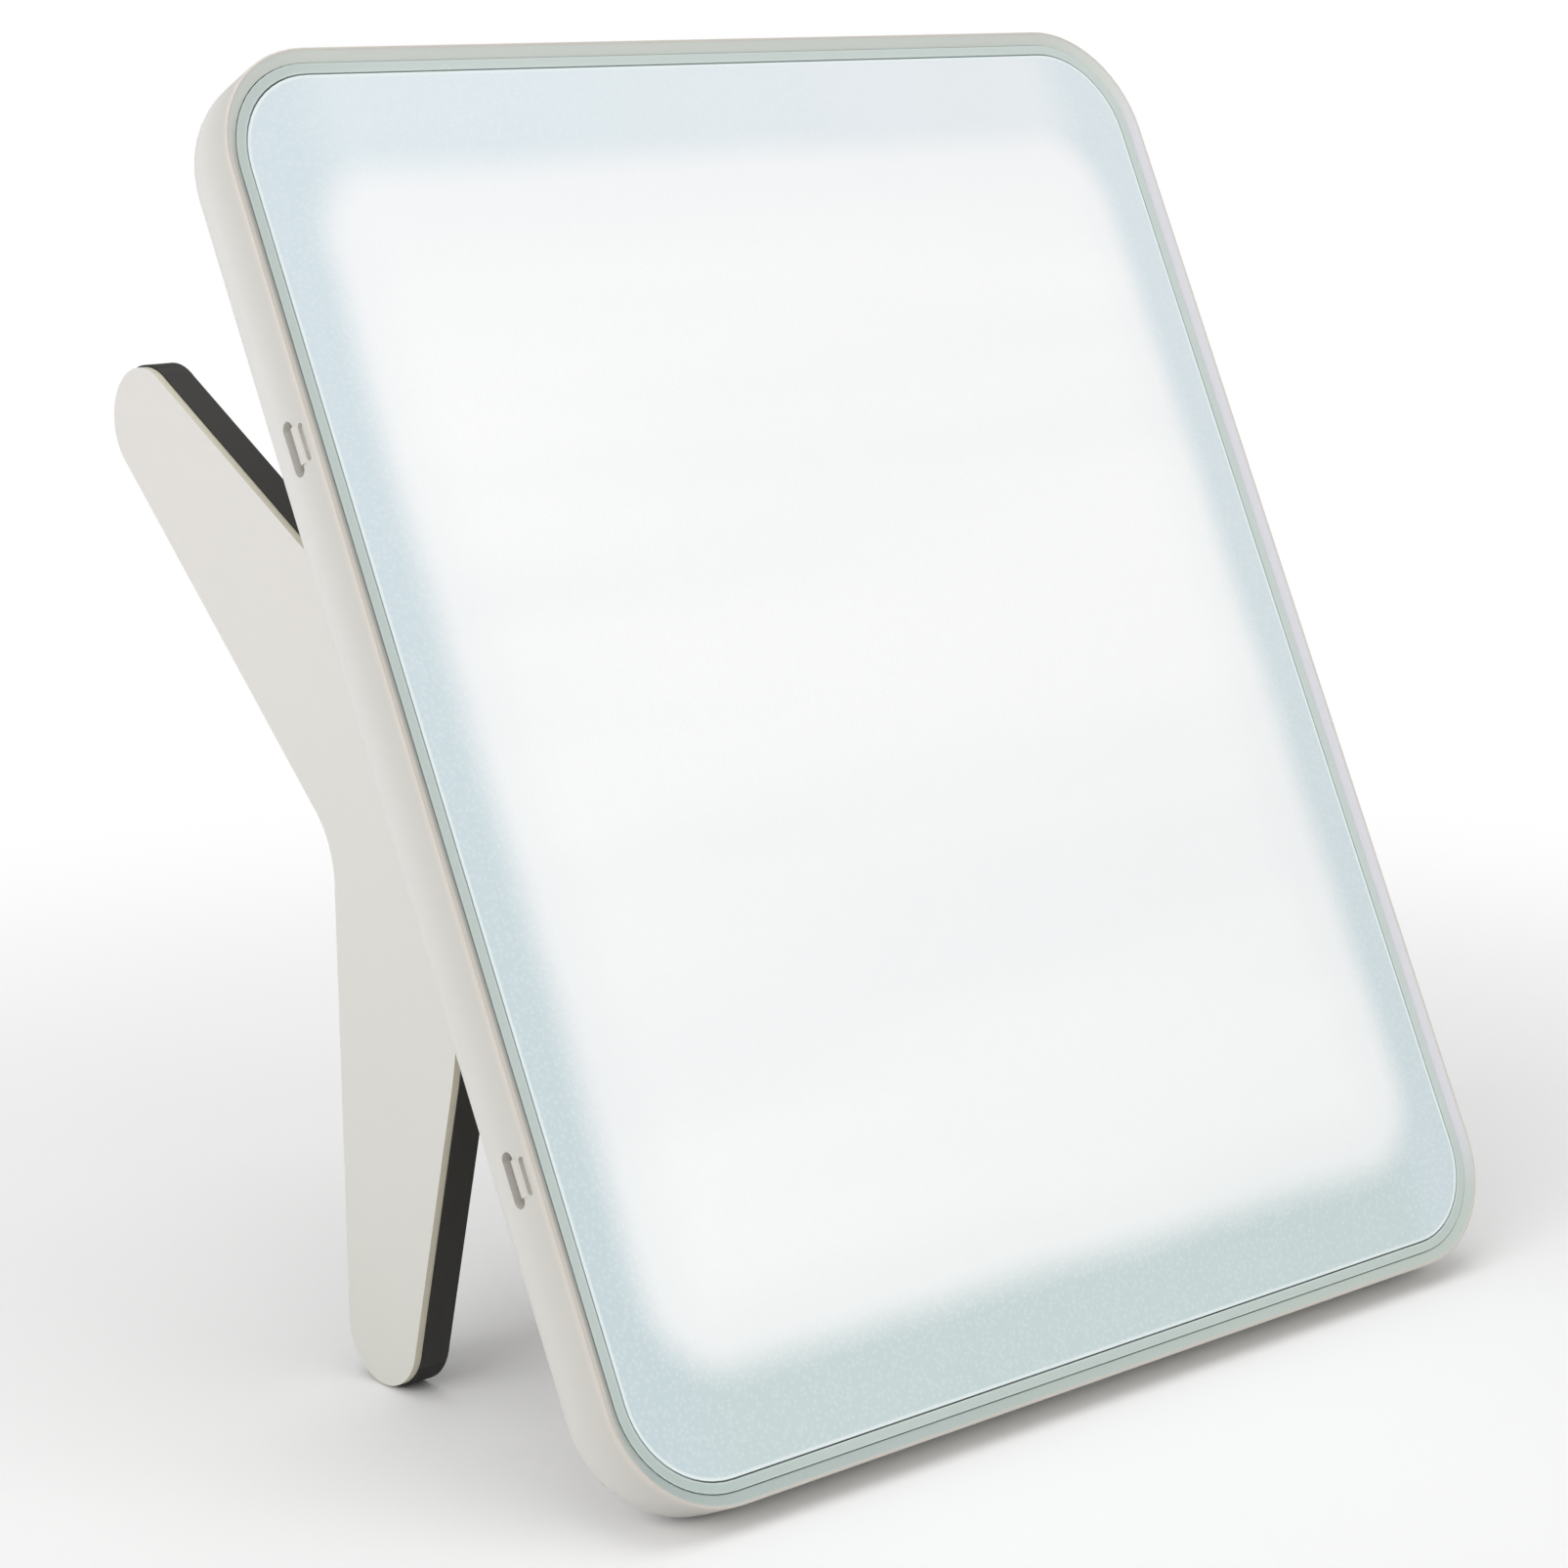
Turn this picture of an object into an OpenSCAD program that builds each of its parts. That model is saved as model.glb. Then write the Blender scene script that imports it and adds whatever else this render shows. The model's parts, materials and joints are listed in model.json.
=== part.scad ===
// Light therapy lamp: a flat leaning light panel on two fold-out bent legs.
//
// Everything is drawn in the panel's own frame and leaned back at the end:
// x runs to the right, y runs from the lit face towards the back, and z runs
// up the panel. The lit face is at y = 0 and the panel's centre at x = z = 0.

/* [Panel] */
// Width of the panel
panel_w = 225; // [180:1:280]
// Height of the panel, along its slope
panel_h = 265; // [210:1:330]
// Depth of the housing behind the lit face
panel_depth = 16.5; // [15:0.5:24]
// Radius of the panel's four corners, seen from the front
corner_r = 22; // [16:1:40]
// Rounding of the housing's rear edge
rear_edge_r = 8; // [5:0.5:9]
// How far the housing's bevelled front edge stands proud of the lit face
lip_proud = 0.9; // [0.3:0.1:1.5]

/* [Lit area] */
// Margin between the lit area and the panel's side edges
lit_side_margin = 16.5; // [12:0.5:30]
// Margin between the lit area and the panel's top and bottom edges, on average
lit_end_margin = 24; // [24:0.5:40]
// How far the lit area sits above the panel's centre, or below it where negative
lit_rise = -0.5; // [-0.5:0.5:3]
// Columns of light-emitting diodes
led_columns = 8; // [4:1:10]
// Rows of light-emitting diodes
led_rows = 9; // [4:1:12]

/* [Legs] */
// Distance from the panel's side edge to the leg's outer cheek
leg_inset = 16.3; // [14:0.1:25]
// Thickness of the leg's dark core
core_t = 6; // [5:0.5:8]
// Thickness of the light cheek on the leg's outer side
cheek_t = 1.5; // [1:0.1:2.5]
// Distance from the hinge to the leg's tips, measured away from the panel
leg_reach = 58.25; // [46:0.25:66]
// Half the distance between the centres of a leg's two tips
leg_half_span = 88.25; // [70:0.25:94]
// Radius of the leg's rounded tips
tip_r = 11; // [8:0.5:13]
// Radius of the curve on the leg's front side
apex_r = 84; // [60:1:110]
// Width of the leg at its bend
bend_w = 35.25; // [28:0.25:42]
// Radius of the curve inside the bend
bend_r = 18; // [10:1:30]
// Tilt of the leg in its own plane, which brings the lower tip further back
leg_tilt = 3.28; // [0:0.01:5]

/* [Hinges] */
// Diameter of the hinge pins
pin_d = 2.5; // [2:0.1:3]
// Length of the leg's knuckle
knuckle_l = 28; // [20:1:36]
// Length of each of the two bracket lugs beside the knuckle
lug_l = 7; // [5:0.5:10]

/* [Back] */
// Height of the inlet and the button above the panel's lower edge
control_rise = 15; // [14.5:0.25:15.5]
// Distance of the inlet and of the button from the panel's middle
control_offset = 14; // [10:1:20]
// Diameter of the power button
button_d = 11; // [8:0.5:12]

/* [Hidden] */
$fn = 64;

// Clearances between neighbouring pieces
pin_gap = 0.05;       // running fit of a pin in a knuckle
slide_gap = 0.3;      // pieces that are dropped or slid into each other
reveal_gap = 0.15;    // groove between the housing's edge and the rim ring
line_gap = 0.3;       // fine dark line between the rim ring and the face plate
fold_gap = 0.5;       // between the panel's back and a folded leg
cut = 1;              // how far a cutting tool runs past the surface it cuts
seam = 0.04;          // straight sides lie this far inside the arcs that they cross

// Housing
wall = 2.5;
back_t = 2;
inner_back = panel_depth - back_t;
inner_corner_r = corner_r - wall;
lip_r = 0.35;           // rounding of the front edge's outer corner
bevel_foot = 0.2;       // depth at which the front edge's bevel ends, beside the ring
bevel_run = [wall - lip_r, bevel_foot + lip_proud - lip_r];
bevel_angle = atan2(bevel_run[1], bevel_run[0]) + asin((lip_r - seam) / norm(bevel_run));

// Front build-up, from the lit face towards the back
ring_w = 1.9;
ring_edge = wall + reveal_gap;               // from the housing's side to the ring
face_edge = ring_edge + ring_w + line_gap;   // from the housing's side to the face plate
flange_w = 2;                                // what the face plate rests on
face_t = 2.2;
ring_flange_t = 1.2;
sheet_t = 0.8;
frame_t = 2;
frame_front = face_t + ring_flange_t;
frame_back = frame_front + frame_t;
skirt_t = 1.2;
skirt_back = inner_back - (rear_edge_r - back_t);   // where the wall's rear rounding starts

// Reflector tray, board of diodes and driver
tray_wall = 1.2;
tray_flange_w = 3;
tray_flange_t = 1;
tray_front = face_t + sheet_t;
board_t = 1.4;
led_gap_behind = 2.5;                        // between the diodes' board and the back
board_back = inner_back - led_gap_behind;
board_front = board_back - board_t;
board_margin = 3;
board_corner_r = 4;
lit_w = panel_w - 2 * lit_side_margin;
lit_h = panel_h - 2 * lit_end_margin;
led_size = [3.5, 0.8, 2.8];
lit_corner_r = 12;
led_screw_edge = 20;                         // from the lit area's edge to the outer screws
led_boss_r = 2.6;
led_screw_head_r = 2.3;
led_screw_head_t = 1.4;
driver_t = 1.2;
driver_w = 96;
driver_h = 13;
driver_screw_edge = 5;                       // from the driver board's end to its screw
driver_boss_r = 2.4;
driver_screw_r = 0.9;
driver_screw_head_r = 1.9;
driver_screw_head_t = 0.9;
driver_screw_short = 2;                      // how far its tip stays inside the back plate
board_play = 0.2;
driver_front = frame_back + tray_flange_t + board_play;
driver_back = driver_front + driver_t;
control_z = control_rise - panel_h / 2;
control_depth = inner_back - driver_back;    // from the driver board to the back plate

// Components on the driver board
coil_x = -30;
coil_r = 4.5;
large_capacitor = [30, 0, 2];
large_capacitor_r = 3.2;
small_capacitor = [37, 0, -2];
small_capacitor_r = 2.5;
component_room = 1;                          // between the tallest component and the back
large_chip = [5, 1.6, 4];
large_chip_z = 2;
small_chip = [4, 1.2, 3];
small_chip_z = -4;
connector_x = -25;
connector_w = 5;
connector_h = 4;

// Inlet for a 5.5 mm barrel plug with a 2.1 mm contact pin
barrel_bore_r = 2.8;
contact_r = 1.05;
jack_side = 9;
jack_collar_r = 4;
jack_floor = 1;
jack_fit = 0.1;
contact_set_back = 1.4;

// Button on its switch
button_travel = 0.8;
button_proud = 1.2;
button_gap = 0.25;
button_flange_r = button_d / 2 + 1;
button_flange_t = 0.8;
button_end_play = 0.2;
switch_side = 6;
switch_room = 3.6;      // between the switch's body and the back plate
switch_body_h = control_depth - switch_room;
switch_floor = 0.6;
plunger_r = 1.6;
plunger_sunk = 1.2;

// Side catches, two in each long side
catch_spread = 65.4;    // from their middle to each catch
catch_drop = 3.75;      // their middle sits this far below the panel's centre
slot_l = 10;
slot_w = 3;
slot_y = 5.4;
rib_l = 6.6;
rib_r = 1.1;
rib_y = slot_y - 1.75;
rib_proud = 0.4;
groove_l = 6.8;
groove_w = 1.5;
groove_y = slot_y - 3.8;
groove_depth = 0.8;
catch_nose_l = slot_l - 1.5;
catch_nose_w = 1.6;
catch_nose_y = slot_y + 0.3;
catch_nose_sunk = 1.7;  // below the housing's side

// Hinges
leg_t = core_t + cheek_t;
knuckle_r = leg_t / 2;
axis_x = panel_w / 2 - leg_inset - knuckle_r;
axis_y = panel_depth + fold_gap + knuckle_r;
lug_clear_r = knuckle_r + 0.5;
washer_t = 0.8;
washer_play = 0.05;
washer_r = knuckle_r - 0.25;    // a little inside the knuckle's round
lug_start = knuckle_l / 2 + washer_t + 2 * washer_play;
lug_end = lug_start + lug_l;
pin_head_t = 0.8;
pin_head_r = pin_d / 2 + 0.75;
notch_end = lug_end + pin_head_t + 0.4;
lug_slot_gap = 0.1;
bracket_t = 1.8;
bracket_w = 12;
bracket_screw_gap = 5;  // from a lug to the screw's axis
bracket_end = 4;        // from the screw's axis to the bracket's end
bracket_screw_z = lug_end + bracket_screw_gap;
bracket_half_l = bracket_screw_z + bracket_end;
screw_r = 1.25;
screw_head_r = 2.6;
screw_hole_gap = 0.15;
screw_head_gap = 0.05;
screw_tip_cover = 0.8;  // plastic left behind a screw hole that ends in the back plate
screw_tip_gap = 0.2;    // between such a screw's tip and the end of its hole

// Legs, in their own plane: p away from the panel and q along the leg, both
// from the hinge's axis. The front side is one arc that runs on straight to the
// tip, and the rear side is a small arc that runs on straight too.
apex_p = -1;
apex_centre = apex_p + apex_r;
bend_centre = apex_p + bend_w + bend_r;
front_angle = asin((apex_r - tip_r) / norm([apex_centre - leg_reach, leg_half_span]))
    - atan2(apex_centre - leg_reach, leg_half_span);
rear_angle = asin((bend_r + tip_r - 2 * seam) / norm([leg_reach - bend_centre, leg_half_span]))
    + atan2(leg_reach - bend_centre, leg_half_span);
arm_angle = (front_angle + rear_angle) / 2;
foot_from = 4;          // from the tip's centre to where its rubber foot starts
bend_overlap = 4;       // how far the bend's outline runs on under the arms
cheek_inset = 0.4;      // the cheek's outline stays this far inside the core's

// Where the tips' centres come to, in the panel's frame
function tip_y(side) = axis_y + leg_reach * cos(leg_tilt) - side * leg_half_span * sin(leg_tilt);
function tip_z(side) = leg_reach * sin(leg_tilt) + side * leg_half_span * cos(leg_tilt);

// The panel leans back until its rear bottom edge and the lower tips share the floor
edge_y = panel_depth - rear_edge_r;
edge_z = -panel_h / 2 + rear_edge_r;
stance_run = tip_y(-1) - edge_y;
stance_rise = tip_z(-1) - edge_z;
lean = atan2(stance_rise, stance_run)
    + asin((rear_edge_r - tip_r) / norm([stance_run, stance_rise]));

// Row frame: the origin is the middle of the footprint of the bounding box
floor_z = -edge_y * sin(lean) + edge_z * cos(lean) - rear_edge_r;
front_y = (lip_r - lip_proud) * cos(lean) - (panel_h / 2 - lip_r) * sin(lean) - lip_r;
rear_y = tip_y(1) * cos(lean) + tip_z(1) * sin(lean) + tip_r;

// ---------------------------------------------------------------- helpers

// Leans a piece of the panel back and stands it on the floor
module placed() {
    translate([0, -(front_y + rear_y) / 2, -floor_z]) rotate([-lean, 0, 0]) children();
}

// Extrudes an outline drawn in x and z from depth y0 to depth y1
module deep(y0, y1) {
    translate([0, y1, 0]) rotate([90, 0, 0]) linear_extrude(y1 - y0) children();
}

// Extrudes an outline drawn in y and z from x0 to x1
module across(x0, x1) {
    translate([x0, 0, 0]) rotate([90, 0, 90]) linear_extrude(x1 - x0) children();
}

// A cylinder whose axis runs from depth y0 to depth y1
module rod_deep(r, y0, y1) {
    translate([0, y1, 0]) rotate([90, 0, 0]) cylinder(r = r, h = y1 - y0);
}

// A rectangle with round corners
module rounded_rect(w, h, r) {
    square([w - 2 * r, h], center = true);
    square([w, h - 2 * r], center = true);
    for (sx = [-1, 1], sz = [-1, 1])
        translate([sx * (w / 2 - r), sz * (h / 2 - r)]) circle(r);
}

// The panel's outline, drawn in by a given distance on all sides
module panel_outline(inset) {
    rounded_rect(panel_w - 2 * inset, panel_h - 2 * inset, corner_r - inset);
}

// A slot outline with round ends, its length along the second axis
module stadium(l, w) {
    square([w, l - w], center = true);
    for (s = [-1, 1]) translate([0, s * (l - w) / 2]) circle(w / 2);
}

// Runs a wall section round the panel. The section is drawn as the distance
// outward from the corners' centres against the depth.
module round_panel() {
    straight_w = panel_w - 2 * corner_r;
    straight_h = panel_h - 2 * corner_r;
    for (m = [0, 1]) {
        mirror([m, 0, 0]) translate([straight_w / 2, 0, 0])
            linear_extrude(straight_h, center = true) children();
        mirror([0, 0, m]) translate([0, 0, straight_h / 2]) rotate([0, -90, 0])
            linear_extrude(straight_w, center = true) children();
    }
    for (quarter = [0 : 3]) {
        sx = (quarter == 0 || quarter == 3) ? 1 : -1;
        sz = quarter < 2 ? -1 : 1;
        translate([sx * straight_w / 2, 0, sz * straight_h / 2]) rotate([-90, 0, 0])
            rotate_extrude(angle = 90, start = 90 * quarter) children();
    }
}

// Repeats a piece for the right and the left side, mirrored
module both_sides() {
    children();
    mirror([1, 0, 0]) children();
}

// ---------------------------------------------------------------- housing

// Section of the housing's wall, its rounded rear edge and the bevelled front edge
module wall_section() {
    edge = corner_r - rear_edge_r;
    inner_r = rear_edge_r - back_t;
    lip_centre = [corner_r - lip_r, lip_r - lip_proud];
    bevel_top = lip_centre - (lip_r - seam) * [sin(bevel_angle), cos(bevel_angle)];
    bevel_start = bevel_top - 2 * wall * [cos(bevel_angle), -sin(bevel_angle)];
    difference() {
        union() {
            translate([0, edge_y]) square([edge, rear_edge_r]);
            translate([edge, edge_y]) intersection() {
                circle(rear_edge_r);
                square(rear_edge_r);
            }
            polygon([bevel_start, bevel_top, lip_centre, [corner_r, lip_centre[1]],
                [corner_r, edge_y], [bevel_start[0], edge_y]]);
            translate(lip_centre) circle(lip_r);
        }
        translate([-cut, -lip_proud - cut])
            square([inner_corner_r + cut, lip_proud + cut + inner_back - inner_r]);
        translate([-cut, 0]) square([inner_corner_r - inner_r + cut, inner_back]);
        translate([inner_corner_r - inner_r, inner_back - inner_r]) circle(inner_r);
    }
}

module catch_places() {
    both_sides() for (s = [-1, 1])
        translate([panel_w / 2, 0, s * catch_spread - catch_drop]) children();
}

module led_screw_places() {
    screw_x = lit_w / 2 - lit_w / led_columns;
    for (sx = [-1, 1], row = [-1 : 1])
        translate([sx * screw_x, 0, lit_rise + row * (lit_h / 2 - led_screw_edge)]) children();
}

module driver_screw_places() {
    for (sx = [-1, 1]) translate([sx * (driver_w / 2 - driver_screw_edge), 0, control_z]) children();
}

module bracket_screw_places() {
    both_sides() for (s = [-1, 1]) translate([axis_x, 0, s * bracket_screw_z]) children();
}

module rear_housing() {
    color("whitesmoke") placed() {
        housing_shell();
        // Ribs that stand over the front edges of the catches' slots
        catch_places() translate([rib_proud - rib_r, rib_y, -rib_l / 2])
            cylinder(r = rib_r, h = rib_l);
    }
}

module housing_shell() {
    difference() {
        union() {
            round_panel() wall_section();
            deep(inner_back, panel_depth)
                square([panel_w - 2 * corner_r, panel_h - 2 * corner_r], center = true);
            led_screw_places() rod_deep(led_boss_r, board_back, inner_back);
            driver_screw_places() rod_deep(driver_boss_r, driver_back, inner_back);
        }
        catch_places() {
            translate([0, slot_y, 0]) across(-wall - cut, cut) stadium(slot_l, slot_w);
            translate([0, groove_y, 0]) across(-groove_depth, cut) stadium(groove_l, groove_w);
        }
        led_screw_places() rod_deep(screw_r, board_back - cut, panel_depth - screw_tip_cover);
        driver_screw_places() rod_deep(driver_screw_r, driver_back - cut, inner_back);
        both_sides() for (s = [-1, 1]) translate([axis_x, inner_back, s * (lug_start + lug_end) / 2])
            cube([2 * (knuckle_r + lug_slot_gap), 2 * (back_t + cut), lug_l + 2 * lug_slot_gap],
                center = true);
        bracket_screw_places() {
            rod_deep(screw_r + screw_hole_gap, inner_back - cut, panel_depth + cut);
            screw_cone(screw_head_gap);
        }
        translate([-control_offset, 0, control_z])
            rod_deep(jack_collar_r + jack_fit, inner_back - cut, panel_depth + cut);
        translate([control_offset, 0, control_z])
            rod_deep(button_d / 2 + button_gap, inner_back - cut, panel_depth + cut);
    }
}

// ---------------------------------------------------------------- front build-up

// Inner frame that carries the rim ring and snaps into the housing's side walls
module front_frame() {
    color("white") placed() {
        difference() {
            union() {
                deep(frame_front, frame_back) panel_outline(wall + slide_gap / 2);
                deep(frame_back, skirt_back) panel_outline(wall + slide_gap / 2);
            }
            deep(frame_back, skirt_back + cut) panel_outline(wall + slide_gap / 2 + skirt_t);
            translate([0, 0, lit_rise]) deep(frame_front - cut, frame_back + cut)
                rounded_rect(lit_w + 2 * (tray_wall + slide_gap),
                    lit_h + 2 * (tray_wall + slide_gap), lit_corner_r + tray_wall + slide_gap);
        }
        catch_places() translate([0, catch_nose_y, 0])
            across(-wall - slide_gap / 2, -catch_nose_sunk) stadium(catch_nose_l, catch_nose_w);
    }
}

// Pale ring round the face, with an inner step that the face plate rests on
module rim_ring() {
    color([0.80, 0.86, 0.83]) placed() {
        deep(0, frame_front) difference() {
            panel_outline(ring_edge);
            panel_outline(ring_edge + ring_w);
        }
        deep(face_t, frame_front) difference() {
            panel_outline(ring_edge + ring_w);
            panel_outline(face_edge + flange_w);
        }
    }
}

module face_plate() {
    color([0.96, 0.98, 0.99]) placed() deep(0, face_t) panel_outline(face_edge);
}

module diffuser_sheet() {
    color("white") placed() deep(face_t, tray_front)
        panel_outline(face_edge + flange_w + slide_gap);
}

// White tray round the lit area, between the diffuser and the board of diodes
module reflector_tray() {
    color("white") placed() translate([0, 0, lit_rise]) difference() {
        union() {
            deep(tray_front, board_front)
                rounded_rect(lit_w + 2 * tray_wall, lit_h + 2 * tray_wall, lit_corner_r + tray_wall);
            deep(frame_back, frame_back + tray_flange_t)
                rounded_rect(lit_w + 2 * (tray_wall + tray_flange_w),
                    lit_h + 2 * (tray_wall + tray_flange_w), lit_corner_r + tray_wall + tray_flange_w);
        }
        deep(tray_front - cut, board_front + cut) rounded_rect(lit_w, lit_h, lit_corner_r);
    }
}

// ---------------------------------------------------------------- electronics

module led_board() {
    color("lightgray") placed() difference() {
        translate([0, 0, lit_rise]) deep(board_front, board_back)
            rounded_rect(lit_w + 2 * board_margin, lit_h + 2 * board_margin, board_corner_r);
        led_screw_places() rod_deep(screw_r + screw_hole_gap, board_front - cut, board_back + cut);
    }
}

module leds() {
    pitch_x = lit_w / led_columns;
    pitch_z = lit_h / led_rows;
    color([1, 0.93, 0.6]) placed() for (i = [0 : led_columns - 1], j = [0 : led_rows - 1])
        translate([(i - (led_columns - 1) / 2) * pitch_x, board_front - led_size[1] / 2,
            lit_rise + (j - (led_rows - 1) / 2) * pitch_z]) cube(led_size, center = true);
}

module led_board_screws() {
    color("silver") placed() led_screw_places() {
        rod_deep(screw_r, board_front - cut, panel_depth - screw_tip_cover - screw_tip_gap);
        rod_deep(led_screw_head_r, board_front - led_screw_head_t, board_front);
    }
}

module driver_board() {
    color("seagreen") placed() difference() {
        translate([0, 0, control_z]) deep(driver_front, driver_back)
            square([driver_w, driver_h], center = true);
        driver_screw_places()
            rod_deep(driver_screw_r + screw_hole_gap, driver_front - cut, driver_back + cut);
    }
}

// Coil, two capacitors and two chips on the driver board
module driver_parts() {
    part_h = control_depth - component_room;
    color("dimgray") placed() translate([0, driver_back, control_z]) {
        translate([coil_x, 0, 0]) rod_deep(coil_r, 0, part_h);
        translate(large_capacitor) rod_deep(large_capacitor_r, 0, part_h);
        translate(small_capacitor) rod_deep(small_capacitor_r, 0, part_h - component_room);
        translate([0, large_chip[1] / 2, large_chip_z]) cube(large_chip, center = true);
        translate([0, small_chip[1] / 2, small_chip_z]) cube(small_chip, center = true);
    }
}

// Plug-in connector from the driver board's edge to the diodes' board
module board_connector() {
    color("ivory") placed()
        translate([connector_x, driver_back, control_z + driver_h / 2 - connector_h])
            cube([connector_w, board_front - driver_back, connector_h]);
}

module driver_board_screws() {
    color("silver") placed() driver_screw_places() {
        rod_deep(driver_screw_r, driver_front, inner_back - driver_screw_short);
        rod_deep(driver_screw_head_r, driver_front - driver_screw_head_t, driver_front);
    }
}

module dc_jack() {
    color([0.12, 0.12, 0.13]) placed() translate([-control_offset, 0, control_z]) difference() {
        union() {
            deep(driver_back, inner_back) square(jack_side, center = true);
            rod_deep(jack_collar_r, inner_back, panel_depth);
        }
        rod_deep(barrel_bore_r, driver_back + jack_floor, panel_depth + cut);
    }
}

module dc_jack_pin() {
    color("gold") placed() translate([-control_offset, 0, control_z])
        rod_deep(contact_r, driver_back + jack_floor, panel_depth - contact_set_back);
}

module switch_body() {
    color([0.15, 0.15, 0.16]) placed() translate([control_offset, 0, control_z]) difference() {
        deep(driver_back, driver_back + switch_body_h) square(switch_side, center = true);
        rod_deep(plunger_r + pin_gap, driver_back + switch_floor, driver_back + switch_body_h + cut);
    }
}

module switch_plunger() {
    rest = driver_back + switch_body_h;
    color("black") placed() translate([control_offset, 0, control_z])
        rod_deep(plunger_r, rest - plunger_sunk, inner_back - button_flange_t - button_end_play);
}

// Round cap on the back, pressed towards the panel
module power_button() {
    flange_back = inner_back - button_end_play;
    color("gainsboro") placed() translate([control_offset, 0, control_z]) {
        rod_deep(button_d / 2, flange_back - button_flange_t, panel_depth + button_proud);
        rod_deep(button_flange_r, flange_back - button_flange_t, flange_back);
    }
}

// ---------------------------------------------------------------- hinges

// Countersunk head of a bracket screw, flush with the panel's back
module screw_cone(extra) {
    head_t = screw_head_r - screw_r;
    translate([0, panel_depth, 0]) rotate([90, 0, 0])
        cylinder(r1 = screw_head_r + extra, r2 = screw_r + extra, h = head_t);
}

// Plate behind the housing's back with two lugs that stand out through it
module hinge_bracket() {
    color([0.25, 0.25, 0.26]) difference() {
        union() {
            translate([axis_x - bracket_w / 2, inner_back - bracket_t, -bracket_half_l])
                cube([bracket_w, bracket_t, 2 * bracket_half_l]);
            for (s = [-1, 1]) translate([axis_x, 0, s * (lug_start + lug_end) / 2 - lug_l / 2]) {
                translate([-knuckle_r, inner_back - bracket_t, 0])
                    cube([2 * knuckle_r, axis_y - inner_back + bracket_t, lug_l]);
                translate([0, axis_y, 0]) cylinder(r = knuckle_r, h = lug_l);
            }
        }
        translate([axis_x, axis_y, -lug_end - cut]) cylinder(r = pin_d / 2, h = 2 * (lug_end + cut));
        for (s = [-1, 1]) translate([axis_x, 0, s * bracket_screw_z])
            rod_deep(screw_r, inner_back - bracket_t - cut, inner_back + cut);
    }
}

module hinge_pin() {
    color("silver") translate([axis_x, axis_y, -lug_end]) {
        cylinder(r = pin_d / 2, h = 2 * lug_end);
        translate([0, 0, 2 * lug_end]) cylinder(r = pin_head_r, h = pin_head_t);
    }
}

// Friction washers between the knuckle and the lugs, which hold the leg where it's put
module friction_washers() {
    color([0.7, 0.68, 0.6]) for (s = [-1, 1])
        translate([axis_x, axis_y, s * (knuckle_l + washer_t + 2 * washer_play) / 2 - washer_t / 2])
            difference() {
                cylinder(r = washer_r, h = washer_t);
                translate([0, 0, -cut]) cylinder(r = pin_d / 2, h = washer_t + 2 * cut);
            }
}

module left_hinge_bracket() { placed() mirror([1, 0, 0]) hinge_bracket(); }
module right_hinge_bracket() { placed() hinge_bracket(); }
module left_hinge_pin() { placed() mirror([1, 0, 0]) hinge_pin(); }
module right_hinge_pin() { placed() hinge_pin(); }
module left_friction_washers() { placed() mirror([1, 0, 0]) friction_washers(); }
module right_friction_washers() { placed() friction_washers(); }

module bracket_screws() {
    color("silver") placed() bracket_screw_places() {
        screw_cone(0);
        rod_deep(screw_r, inner_back - bracket_t, panel_depth);
    }
}

// ---------------------------------------------------------------- legs

// One arm from the bend to the tip, drawn as p and q, with its round tip; side
// is 1 for the upper arm and -1 for the lower one
module arm_outline(inset, side) {
    tip = [leg_reach, side * leg_half_span];
    front_normal = [-cos(front_angle), side * sin(front_angle)];
    rear_normal = [cos(rear_angle), -side * sin(rear_angle)];
    corners = [
        [apex_centre, 0] + (apex_r - inset - seam) * front_normal,
        tip + (tip_r - inset - seam) * front_normal,
        tip + (tip_r - inset - seam) * rear_normal,
        [bend_centre, 0] - (bend_r + inset - seam) * rear_normal,
        [apex_p + bend_w / 2, 0]];
    // Both arms are drawn the same way round
    polygon(side < 0 ? corners : [for (i = [len(corners) - 1 : -1 : 0]) corners[i]]);
    translate(tip) circle(tip_r - inset);
}

// The rounded middle that both arms run out of
module bend_outline(inset) {
    reach_q = apex_r * sin(front_angle) + bend_overlap;
    rear_point = [bend_centre, 0] + (bend_r + inset - seam) * [-cos(rear_angle), sin(rear_angle)];
    intersection() {
        translate([apex_centre, 0]) circle(apex_r - inset, $fn = 180);
        polygon([[apex_p - cut, -reach_q], [apex_p + bend_w / 2, -reach_q],
            [rear_point[0], -rear_point[1]], [bend_centre, 0], rear_point,
            [apex_p + bend_w / 2, reach_q], [apex_p - cut, reach_q]]);
    }
}

// The leg's whole outline in y and z
module leg_outline(inset) {
    translate([axis_y, 0]) rotate(leg_tilt) difference() {
        union() {
            bend_outline(inset);
            for (side = [-1, 1]) arm_outline(inset, side);
        }
        translate([bend_centre, 0]) circle(bend_r + inset);
    }
}

// Everything beyond the line where a tip's rubber foot starts, in y and z
module foot_zone() {
    translate([axis_y, 0]) rotate(leg_tilt) for (side = [-1, 1])
        translate([leg_reach, side * leg_half_span]) rotate(side > 0 ? -arm_angle : 180 + arm_angle)
            translate([-2 * tip_r, foot_from]) square([4 * tip_r, 2 * tip_r]);
}

// The notch that lets a leg swing round its knuckle and the lugs, in y and z
module hinge_notch(reach) {
    translate([0, -notch_end]) square([axis_y + reach, 2 * notch_end]);
}

// The deeper ends of that notch, which clear the two lugs when the leg is folded
module lug_notches() {
    for (from = [-notch_end, knuckle_l / 2])
        translate([0, from]) square([axis_y + lug_clear_r, notch_end - knuckle_l / 2]);
}

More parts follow.
